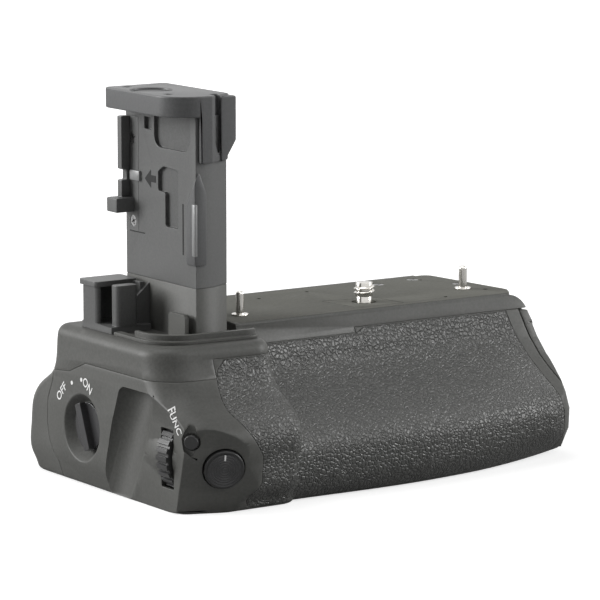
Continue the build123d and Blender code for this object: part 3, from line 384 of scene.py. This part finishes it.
def printedInk(name, values):
    # slightly patchy print
    material, nodes, links, shader, place = newMaterial(name)
    patchy = noiseNode(nodes, links, place, values["patch"], values["detail"])
    patches = rangeNode(nodes, links, patchy.outputs["Fac"], 0.0, 1.0)
    shade = values["shade"]
    base = shadeMix(nodes, links, patches, scaled(shade, values["dark"]), shade)
    links.new(base, shader.inputs["Base Color"])
    shader.inputs["Roughness"].default_value = values["rough"]
    return material


materials = {name: mouldedPlastic(name + "Plastic", values) for name, values in finishValues.items()}
materials.update({name: machinedMetal(name + "Metal", values) for name, values in metalValues.items()})
materials["rubber"] = grainedRubber("grainedRubber", rubberValues)
materials["ink"] = printedInk("whiteInk", inkValues)
print("finishes ready:", len(materials))

# each node's finish and the width in millimetres of its eased edges
nodeFinishes = {
    "top_shell": ("shell", 0.30), "front_housing": ("housing", 0.30), "rear_shell": ("shell", 0.30),
    "grip_rubber": ("rubber", 0.25), "thumb_rubber": ("rubber", 0.25), "battery_door": ("housing", 0.30),
    "power_switch": ("knob", 0.18), "main_dial": ("black", 0.10), "dial_shaft": ("steel", 0.0),
    "shutter_button": ("black", 0.34), "function_button": ("black", 0.15), "rear_dial": ("black", 0.08),
    "rear_dial_shaft": ("steel", 0.0), "joystick_gimbal": ("steel", 0.0), "joystick_cap": ("black", 0.15),
    "mounting_screw": ("nickel", 0.0), "screw_gear": ("brass", 0.0), "screw_bush": ("steel", 0.0),
    "thumbwheel": ("black", 0.10), "wheel_spindle": ("steel", 0.0), "idler_gear": ("brass", 0.0),
    "idler_pin": ("steel", 0.0), "top_plate": ("plate", 0.22), "plate_screws": ("darkSteel", 0.06),
    "locating_pins": ("nickel", 0.08), "base_plate": ("shell", 0.20), "base_screws": ("darkSteel", 0.08),
    "tripod_socket": ("steel", 0.12), "flat_contact_block": ("black", 0.0), "flat_contacts": ("brass", 0.0),
    "upright_contact_block": ("black", 0.0), "upright_contacts": ("brass", 0.0),
    "battery_lock": ("knob", 0.10), "door_latch": ("black", 0.12), "hinge_pin": ("steel", 0.0),
    "tower_column": ("tower", 0.18), "tower_strip": ("tower", 0.10), "contact_post": ("tower", 0.35),
    "tower_screws": ("darkSteel", 0.05), "tower_cap": ("cap", 0.5), "deck_rim": ("shell", 0.15),
    "rim_tongue": ("shell", 0.15), "gusset": ("tower", 0.08), "door_holder": ("tower", 0.20),
    "rear_button_1": ("black", 0.15), "rear_button_2": ("black", 0.15), "rear_button_3": ("black", 0.15),
}

# how copied solids and new pieces are cleaned: lengths in millimetres, angles in degrees
dressValues = {
    "merge": 0.002, "flat": 0.6, "segments": 2, "sharp": 32, "newSharp": 35, "weight": 90, "spikeShare": 0.5,
}
sharpAngle = math.radians(dressValues["sharp"])
newSharpAngle = math.radians(dressValues["newSharp"])


def coat(piece, finish):
    piece.data.materials.clear()
    piece.data.materials.append(materials[finish])


def addBevel(piece, width, segments):
    bevel = piece.modifiers.new("easedEdges", "BEVEL")
    bevel.width = width * mm
    bevel.segments = segments
    bevel.limit_method = "ANGLE"
    return bevel


def shadeEvenly(piece):
    # smooth up to the sharp angle, with large faces kept flat
    makeActive(piece)
    bpy.ops.object.shade_smooth_by_angle(angle=sharpAngle)
    weights = piece.modifiers.new("evenShading", "WEIGHTED_NORMAL")
    weights.keep_sharp = True
    weights.weight = dressValues["weight"]
    applyModifiers(piece)


def pullSpikes(piece, node, edge):
    # corners that the bevel threw far off the solid go back onto it
    for vertex in piece.data.vertices:
        found, place = node.closest_point_on_mesh(vertex.co)[:2]
        if found and (place - vertex.co).length > edge * dressValues["spikeShare"] * mm:
            vertex.co = place


def dressedCopy(nodeName, finish, edge):
    # a merged copy of the solid, with eased edges, stands for it
    node = frame["nodes"][nodeName]
    piece = node.copy()
    piece.data = node.data.copy()
    piece.name = nodeName + "_finished"
    piece.parent = None
    bpy.context.scene.collection.objects.link(piece)
    piece.hide_render = False
    piece.hide_viewport = False
    for key in list(piece.keys()):
        del piece[key]
    makeActive(piece)
    bpy.ops.object.mode_set(mode="EDIT")
    bpy.ops.mesh.select_all(action="SELECT")
    bpy.ops.mesh.customdata_custom_splitnormals_clear()
    bpy.ops.mesh.remove_doubles(threshold=dressValues["merge"] * mm)
    bpy.ops.mesh.dissolve_limited(angle_limit=math.radians(dressValues["flat"]))
    bpy.ops.mesh.normals_make_consistent(inside=False)
    bpy.ops.object.mode_set(mode="OBJECT")
    bevel = addBevel(piece, edge, dressValues["segments"])
    bevel.use_clamp_overlap = False
    bevel.angle_limit = sharpAngle
    bevel.miter_outer = "MITER_ARC"
    applyModifiers(piece)
    pullSpikes(piece, node, edge)
    shadeEvenly(piece)
    coat(piece, finish)
    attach(piece, node["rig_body"])
    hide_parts(nodeName)
    return piece


pieces = {}
for nodeName, (finish, edge) in nodeFinishes.items():
    if edge:
        pieces[nodeName] = dressedCopy(nodeName, finish, edge)
    else:
        coat(frame["nodes"][nodeName], finish)
print("solids finished:", len(pieces))

# the right end: its front narrows under the deck and rounds off at the nose
endValues = {
    "from": 30.0, "full": 70.0, "cutsX": (36.0, 44.0, 52.0, 60.0, 66.0),
    "cutsZ": (4.0, 9.0, 15.0, 20.0, 25.0, 30.0, 35.0, 39.0),
    "levels": (
        (0.0, 7.0), (4.0, 4.6), (9.0, 1.2), (15.0, 0.0), (20.0, 1.4), (25.0, 4.2), (30.0, 5.5), (35.0, 4.4),
        (39.0, 1.6), (42.0, 0.0),
    ),
    "backFrom": -8.0, "backSpan": 20.0,
}


def levelShift(height, levels):
    # how far back the end's front goes at this height
    if height <= levels[0][0]:
        return levels[0][1]
    for (low, lowShift), (high, highShift) in zip(levels, levels[1:]):
        if height <= high:
            return lowShift + (highShift - lowShift) * (height - low) / (high - low)
    return 0.0


def narrowEnd(piece, values):
    # the copy is sliced first, so that all its neighbours bend alike
    makeActive(piece)
    bpy.ops.object.mode_set(mode="EDIT")
    for axis, cuts in ((0, values["cutsX"]), (2, values["cutsZ"])):
        for cut in cuts:
            spot = [0, 0, 0]
            spot[axis] = cut * mm
            direction = [0, 0, 0]
            direction[axis] = 1
            bpy.ops.mesh.select_all(action="SELECT")
            bpy.ops.mesh.bisect(plane_co=spot, plane_no=direction)
    bpy.ops.object.mode_set(mode="OBJECT")
    for vertex in piece.data.vertices:
        x, y, z = vertex.co / mm
        along = min(max((x - values["from"]) / (values["full"] - values["from"]), 0), 1)
        front = min(max((values["backFrom"] - y) / values["backSpan"], 0), 1)
        vertex.co.y += levelShift(z, values["levels"]) * along * along * front * mm


for nodeName in ("front_housing", "grip_rubber", "battery_door", "top_shell", "base_plate"):
    narrowEnd(pieces[nodeName], endValues)
    bpy.ops.mesh.customdata_custom_splitnormals_clear()
    bpy.ops.object.shade_smooth_by_angle(angle=sharpAngle)
print("right end narrowed")


def finishPiece(piece, name, finish, body="grip", edge=0.0):
    # eased edges, smooth shading, a finish and the body that it moves with
    piece.name = name
    applyPlace(piece)
    if edge:
        addBevel(piece, edge, dressValues["segments"])
        applyModifiers(piece)
    makeActive(piece)
    bpy.ops.object.shade_smooth_by_angle(angle=newSharpAngle)
    coat(piece, finish)
    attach(piece, body)
    return piece


def addBlock(low, high):
    deselectAll()
    middle = [(a + b) / 2 * mm for a, b in zip(low, high)]
    bpy.ops.mesh.primitive_cube_add(size=1, location=middle)
    block = bpy.context.object
    block.scale = [(b - a) * mm for a, b in zip(low, high)]
    applyPlace(block)
    return block


def addRound(place, radius, low, high, sides=48):
    # an upright round bar between two heights
    deselectAll()
    centre = (place[0] * mm, place[1] * mm, (low + high) / 2 * mm)
    tall = (high - low) * mm
    bpy.ops.mesh.primitive_cylinder_add(vertices=sides, radius=radius * mm, depth=tall, location=centre)
    return bpy.context.object


def joined(parts):
    deselectAll()
    for part in parts:
        part.select_set(True)
    bpy.context.view_layer.objects.active = parts[0]
    if len(parts) > 1:
        bpy.ops.object.join()
    return bpy.context.object


def cutWith(piece, cutters):
    # takes the cutters' shape out of the piece and removes them
    cutter = joined(cutters)
    cut = piece.modifiers.new("cut", "BOOLEAN")
    cut.operation = "DIFFERENCE"
    cut.solver = "EXACT"
    cut.use_self = True
    cut.object = cutter
    applyModifiers(piece)
    bpy.data.objects.remove(cutter)
    makeActive(piece)
    bpy.ops.mesh.customdata_custom_splitnormals_clear()
    shadeEvenly(piece)


def facing(direction, upward=(0, 0, 1)):
    # turns +Z to the direction, with +Y as near as possible to upward
    out = Vector(direction).normalized()
    across = Vector(upward).cross(out).normalized()
    up = out.cross(across)
    return Matrix((across, up, out)).transposed().to_4x4()


# cross recesses in the screw heads: place, outward direction and size of each head
crossValues = {
    "share": 0.62, "width": 0.22, "depth": 0.75,
    "turn": 0.5,  # in radians
    "upward": (0, 1, 0.01),
}
screwHeads = {
    "tower_screws": {
        "radius": 1.7, "out": (-1, 0, 0),
        "places": [(-54.15, 16.2, 76.3), (-54.15, 16.2, 100.6)],
    },
    "plate_screws": {
        "radius": 1.9, "out": (0, 0, 1),
        "places": [(39.0, 24.5, 47.85), (53.5, 26.5, 47.85), (60.5, 12.0, 47.85), (-31.5, 27.0, 47.85)],
    },
    "base_screws": {
        "radius": 2.2, "out": (0, 0, -1),
        "places": [(-53.0, -25.0, 0.15), (-53.0, 20.0, 0.15), (0.0, -25.0, 0.15), (0.0, 20.0, 0.15)],
    },
}


def cutCrosses(nodeName, values):
    cutters = []
    reach = values["radius"] * crossValues["share"]
    half = values["radius"] * crossValues["width"] / 2
    deep = crossValues["depth"]
    for place in values["places"]:
        for quarter in (0, math.pi / 2):
            bar = addBlock((-reach, -half, -deep), (reach, half, deep))
            spot = Matrix.Translation(Vector(place) * mm)
            turn = Matrix.Rotation(quarter + crossValues["turn"], 4, "Z")
            bar.matrix_world = spot @ facing(values["out"], crossValues["upward"]) @ turn
            applyPlace(bar)
            cutters.append(bar)
    cutWith(pieces[nodeName], cutters)


for nodeName, values in screwHeads.items():
    cutCrosses(nodeName, values)
print("screw heads cut")

# mounting screw with its thread
screwValues = {
    "place": (16.85, 0.3), "core": 2.55, "crest": 3.17, "pitch": 1.27, "low": 49.7, "top": 53.9, "neck": 2.4,
    "collar": 5.2, "collarLow": 45.1, "collarTop": 46.15, "collarSides": 64, "gearLow": 41.9,
    "tail": 2.0, "tailLow": 33.0, "overlap": 0.1, "edge": 0.12,
    "ridgeShare": 0.42, "sunk": 0.05, "steps": 36, "merge": 0.001,
}


def threadRidge(values, low, high):
    # a three-sided ridge, run up a helix by the Screw modifier
    deselectAll()
    pitch = values["pitch"]
    foot = values["core"] - values["sunk"]
    half = pitch * values["ridgeShare"]
    bpy.ops.mesh.primitive_circle_add(vertices=3, radius=pitch / 2 * mm, fill_type="NGON")
    ridge = bpy.context.object
    bpy.ops.object.mode_set(mode="EDIT")
    bpy.ops.mesh.delete(type="ONLY_FACE")
    bpy.ops.object.mode_set(mode="OBJECT")
    corners = ((values["crest"], 0), (foot, -half), (foot, half))
    for vertex, (out, up) in zip(ridge.data.vertices, corners):
        vertex.co = Vector((out, 0, up + low)) * mm
    screw = ridge.modifiers.new("helix", "SCREW")
    screw.axis = "Z"
    screw.screw_offset = pitch * mm
    screw.iterations = max(1, round((high - low) / pitch))
    screw.steps = values["steps"]
    screw.render_steps = values["steps"]
    screw.use_merge_vertices = True
    screw.merge_threshold = values["merge"] * mm
    applyModifiers(ridge)
    bpy.ops.object.mode_set(mode="EDIT")
    bpy.ops.mesh.select_all(action="DESELECT")
    bpy.ops.mesh.select_mode(type="EDGE")
    bpy.ops.mesh.select_non_manifold()
    bpy.ops.mesh.edge_face_add()
    bpy.ops.mesh.select_all(action="SELECT")
    bpy.ops.mesh.normals_make_consistent(inside=False)
    bpy.ops.mesh.select_mode(type="VERT")
    bpy.ops.object.mode_set(mode="OBJECT")
    ridge.location = (values["place"][0] * mm, values["place"][1] * mm, 0)
    applyPlace(ridge)
    return ridge


def buildScrew(values):
    place = values["place"]
    bars = [
        addRound(place, values["core"], values["low"], values["top"]),
        addRound(place, values["neck"], values["gearLow"], values["low"] + values["overlap"]),
        addRound(place, values["collar"], values["collarLow"], values["collarTop"], values["collarSides"]),
        addRound(place, values["tail"], values["tailLow"], values["gearLow"]),
    ]
    lift = values["pitch"] * values["ridgeShare"]
    bars.append(threadRidge(values, values["low"] + lift, values["top"] - lift))
    screw = finishPiece(joined(bars), "threadedScrew", "nickel", "mounting_screw", values["edge"])
    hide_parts("mounting_screw")


buildScrew(screwValues)
print("mounting screw threaded")

# hollow in the left end of the pod, between the switch and the dial
scoopValues = {
    "top": (-76.4, -15.6, 32.9), "foot": (-81.2, -7.0, -1.0), "across": 9.6, "deep": 9.0, "footShare": 1.35,
    "sides": 64, "edge": 2.2, "segments": 4,
}


def carvePod(values):
    # a leaning bar with an oval section, wider at its foot, cuts the hollow
    deselectAll()
    top = Vector(values["top"]) * mm
    foot = Vector(values["foot"]) * mm
    bpy.ops.mesh.primitive_cylinder_add(vertices=values["sides"], radius=1, depth=1)
    bar = bpy.context.object
    for vertex in bar.data.vertices:
        share = 1 if vertex.co.z > 0 else values["footShare"]
        end = top if vertex.co.z > 0 else foot
        across = vertex.co.y * values["across"] * share
        vertex.co = end + Vector((vertex.co.x * values["deep"], across, 0)) * mm
    addBevel(bar, values["edge"], values["segments"])
    applyModifiers(bar)
    cutWith(pieces["front_housing"], [bar])


carvePod(scoopValues)
print("pod carved")

# white lettering: where each word starts and ends, along Y and Z on the left end
wordValues = {
    "offWord": {"text": "OFF", "start": (27.9, 23.2), "end": (23.0, 29.0), "size": 3.6},
    "onWord": {"text": "ON", "start": (13.2, 31.2), "end": (9.0, 28.6), "size": 3.6},
    "functionWord": {"text": "FUNC", "start": (-31.6, 29.9), "end": (-36.7, 23.7), "size": 3.0,
                     "out": (-0.8, -0.6, 0)},
}
dotValues = {"offDot": (19.9, 29.6), "onDot": (14.6, 31.3)}
leftOfGrip = -0.1  # in metres


def surfaceFromLeft(across, up):
    # the place and direction of the housing's skin, looking along +X
    start = Vector((leftOfGrip, across * mm, up * mm))
    place, normal = pieces["front_housing"].ray_cast(start, Vector((1, 0, 0)))[1:3]
    return place, normal


def layOnHousing(piece, name):
    # the flat ink is dropped straight onto the housing, along its own Z
    makeActive(piece)
    bpy.ops.object.mode_set(mode="EDIT")
    bpy.ops.mesh.select_all(action="SELECT")
    bpy.ops.mesh.remove_doubles(threshold=inkValues["merge"] * mm)
    bpy.ops.mesh.subdivide(number_cuts=1)
    bpy.ops.object.mode_set(mode="OBJECT")
    wrap = piece.modifiers.new("onSkin", "SHRINKWRAP")
    wrap.wrap_method = "PROJECT"
    wrap.wrap_mode = "ABOVE_SURFACE"
    wrap.use_project_z = True
    wrap.use_negative_direction = True
    wrap.use_positive_direction = True
    wrap.target = pieces["front_housing"]
    wrap.offset = inkValues["lift"] * mm
    applyModifiers(piece)
    finishPiece(piece, name, "ink")


def addWord(name, values):
    deselectAll()
    start, skin = surfaceFromLeft(*values["start"])
    end, endSkin = surfaceFromLeft(*values["end"])
    bpy.ops.object.text_add()
    word = bpy.context.object
    word.data.body = values["text"]
    word.data.size = values["size"] * mm
    word.data.align_x = "CENTER"
    word.data.align_y = "CENTER"
    word.data.offset = inkValues["swell"] * mm
    bpy.ops.object.convert(target="MESH")
    word = bpy.context.object
    out = Vector(values["out"]) if "out" in values else (skin + endSkin).normalized()
    along = (end - start).normalized()
    word.matrix_world = Matrix.Translation((start + end) / 2) @ facing(out, out.cross(along))
    layOnHousing(word, name)


def addDot(name, place):
    deselectAll()
    spot, skin = surfaceFromLeft(*place)
    sides = inkValues["dotSides"]
    bpy.ops.mesh.primitive_circle_add(vertices=sides, radius=inkValues["dot"] * mm, fill_type="TRIFAN")
    dot = bpy.context.object
    dot.matrix_world = Matrix.Translation(spot) @ facing(skin)
    layOnHousing(dot, name)


for name, values in wordValues.items():
    addWord(name, values)
for name, place in dotValues.items():
    addDot(name, place)
print("lettering laid on")


def addPrism(points, axis, low, high):
    # a flat outline in the plane across the axis, given thickness along it
    deselectAll()
    bpy.ops.mesh.primitive_circle_add(vertices=len(points), radius=mm, fill_type="NGON")
    prism = bpy.context.object
    for vertex, (a, b) in zip(prism.data.vertices, points):
        spot = {"X": (low, a, b), "Y": (a, low, b), "Z": (a, b, low)}[axis]
        vertex.co = Vector(spot) * mm
    thick = (high - low) * mm
    step = {"X": (thick, 0, 0), "Y": (0, thick, 0), "Z": (0, 0, thick)}[axis]
    bpy.ops.object.mode_set(mode="EDIT")
    bpy.ops.mesh.select_all(action="SELECT")
    bpy.ops.mesh.extrude_region_move(TRANSFORM_OT_translate={"value": step})
    bpy.ops.mesh.select_all(action="SELECT")
    bpy.ops.mesh.normals_make_consistent(inside=False)
    bpy.ops.object.mode_set(mode="OBJECT")
    return prism


def trimBlock(block, place, direction):
    # cuts off the side that the direction points to, and closes the cut
    makeActive(block)
    bpy.ops.object.mode_set(mode="EDIT")
    bpy.ops.mesh.select_all(action="SELECT")
    spot = Vector(place) * mm
    bpy.ops.mesh.bisect(plane_co=spot, plane_no=direction, use_fill=True, clear_outer=True)
    bpy.ops.object.mode_set(mode="OBJECT")


# corner cover of the tower, with a pale bar on its edge as a painted highlight
coverValues = {
    "low": (-55.2, -18.8, 67.2), "high": (-51.0, -13.9, 94.5), "edge": 0.45,
    "slantAt": (-55.2, -13.9, 83.5), "slantFar": (-55.2, -18.8, 91.5), "tip": (-53.6, -18.8, 94.5),
    "shortFar": (-52.2, -18.8, 91.0),
    "highlightBarLow": (-55.32, -18.92, 70.0), "highlightBarHigh": (-54.3, -17.3, 85.0), "highlightBarEdge": 0.25,
}


def buildCover(values):
    block = addBlock(values["low"], values["high"])
    start = Vector(values["slantAt"])
    slant = (Vector(values["slantFar"]) - start).cross(Vector(values["tip"]) - start)
    if slant.z < 0:
        slant.negate()
    trimBlock(block, values["slantAt"], slant.normalized())
    tip = Vector(values["tip"])
    drop = Vector(values["shortFar"]) - tip
    trimBlock(block, values["tip"], Vector((-drop.z, 0, drop.x)).normalized())
    cover = finishPiece(block, "cornerCover", "cap", edge=values["edge"])
    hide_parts("tower_side_cover")
    # painted highlight: a pale bar where light catches the cover's corner rib
    finishPiece(addBlock(values["highlightBarLow"], values["highlightBarHigh"]), "paintedHighlightBar", "bar", edge=values["highlightBarEdge"])


buildCover(coverValues)

# painted shade on the tower's wide side: dark sheets where the recessed arrow, the slot and the ledge fall
# in shade, and the strip's bright clip
towerShadeValues = {
    "from": -54.36, "to": -54.0,
    "arrow": [(9.5, 89.5), (6.1, 92.4), (6.1, 90.8), (3.4, 90.8), (3.4, 88.8), (6.1, 88.8), (6.1, 87.1)],
    "bars": {
        "towerSlotShade": ((-11.5, 69.6), (-10.9, 84.3)),
        "towerLedgeShade": ((9.6, 73.2), (18.0, 73.5)),
    },
    "clipLow": (-55.1, 11.6, 88.4), "clipHigh": (-54.1, 16.9, 91.4), "clipEdge": 0.3,
}


def paintTowerShade(values):
    # painted shade: near-black sheets laid flat on the face in place of real recesses
    finishPiece(addPrism(values["arrow"], "X", values["from"], values["to"]), "towerArrowShade", "dark")
    for name, (low, high) in values["bars"].items():
        finishPiece(addBlock((values["from"], *low), (values["to"], *high)), name, "dark")
    clip = addBlock(values["clipLow"], values["clipHigh"])
    finishPiece(clip, "stripClip", "bar", edge=values["clipEdge"])


paintTowerShade(towerShadeValues)

# the top plate's lines, as from, to and width, and its dimples, as place and radius
plateValues = {
    "top": 48.0, "cutDepth": 0.35, "cutAbove": 1, "dimpleSides": 24,
    "lines": [
        ((6.7, 7.8), (8.6, -6.7), 0.35), ((23.9, 4.5), (25.3, -8.4), 0.35),
        ((8.6, -6.7), (25.3, -8.4), 0.30), ((6.7, 7.8), (23.9, 4.5), 0.30),
    ],
    "dimples": [
        (-6.4, 22.4, 0.7), (60.9, -1.5, 0.8), (42.4, -6.2, 0.7), (54.9, 24.0, 0.5), (12.8, 25.0, 0.6),
    ],
}


def markPlate(values):
    cutters = []
    low = values["top"] - values["cutDepth"]
    high = values["top"] + values["cutAbove"]
    for (startX, startY), (endX, endY), wide in values["lines"]:
        long = math.hypot(endX - startX, endY - startY)
        line = addBlock((-long / 2, -wide / 2, low), (long / 2, wide / 2, high))
        line.rotation_euler.z = math.atan2(endY - startY, endX - startX)
        line.location = ((startX + endX) / 2 * mm, (startY + endY) / 2 * mm, 0)
        applyPlace(line)
        cutters.append(line)
    for x, y, radius in values["dimples"]:
        cutters.append(addRound((x, y), radius, low, high, values["dimpleSides"]))
    cutWith(pieces["top_plate"], cutters)


markPlate(plateValues)
print("tower and plate marked")

# turned face of the shutter button: rings round its middle, and a white tick
ringValues = {
    "facingFront": -0.3, "count": 13, "share": 0.93, "dip": 0.15, "lift": 0.02, "sides": 72,
    "middleShare": 0.5, "tickLong": 1.7, "tickWide": 0.5, "tickThick": 0.12, "tickLift": 0.05,
    "tickShare": 0.72,
}


def widestFace(piece, frontward):
    # middle, direction and radius of the largest face that looks to the front
    faces = sorted(piece.data.polygons, key=lambda face: -face.area)
    for face in faces:
        if face.normal.y < frontward:
            return face.center.copy(), face.normal.copy(), math.sqrt(face.area / math.pi)


def turnButton(values):
    middle, out, radius = widestFace(pieces["shutter_button"], values["facingFront"])
    deselectAll()
    reach = radius * values["share"]
    bpy.ops.mesh.primitive_circle_add(vertices=values["sides"], radius=reach, fill_type="NGON")
    disc = bpy.context.object
    step = reach / (values["count"] + values["middleShare"])
    bpy.ops.object.mode_set(mode="EDIT")
    bpy.ops.mesh.select_mode(type="FACE")
    bpy.ops.mesh.select_all(action="SELECT")
    for ring in range(values["count"]):
        dip = values["dip"] * mm * (1 if ring % 2 else -1)
        bpy.ops.mesh.inset(thickness=step, depth=dip)
    bpy.ops.mesh.select_mode(type="VERT")
    bpy.ops.object.mode_set(mode="OBJECT")
    lift = out * (values["lift"] + values["dip"]) * mm
    disc.matrix_world = Matrix.Translation(middle + lift) @ facing(out)
    finishPiece(disc, "buttonFace", "knob", "shutter_button")
    bpy.ops.object.shade_flat()
    wide = values["tickWide"] / 2
    long = values["tickLong"] / 2
    tick = addBlock((-wide, -long, 0), (wide, long, values["tickThick"]))
    up = facing(out)
    spot = up @ Vector((0, radius * values["tickShare"], values["tickLift"] * mm))
    tick.matrix_world = Matrix.Translation(middle + spot) @ up
    finishPiece(tick, "buttonTick", "ink", "shutter_button")


turnButton(ringValues)
print("button face turned")
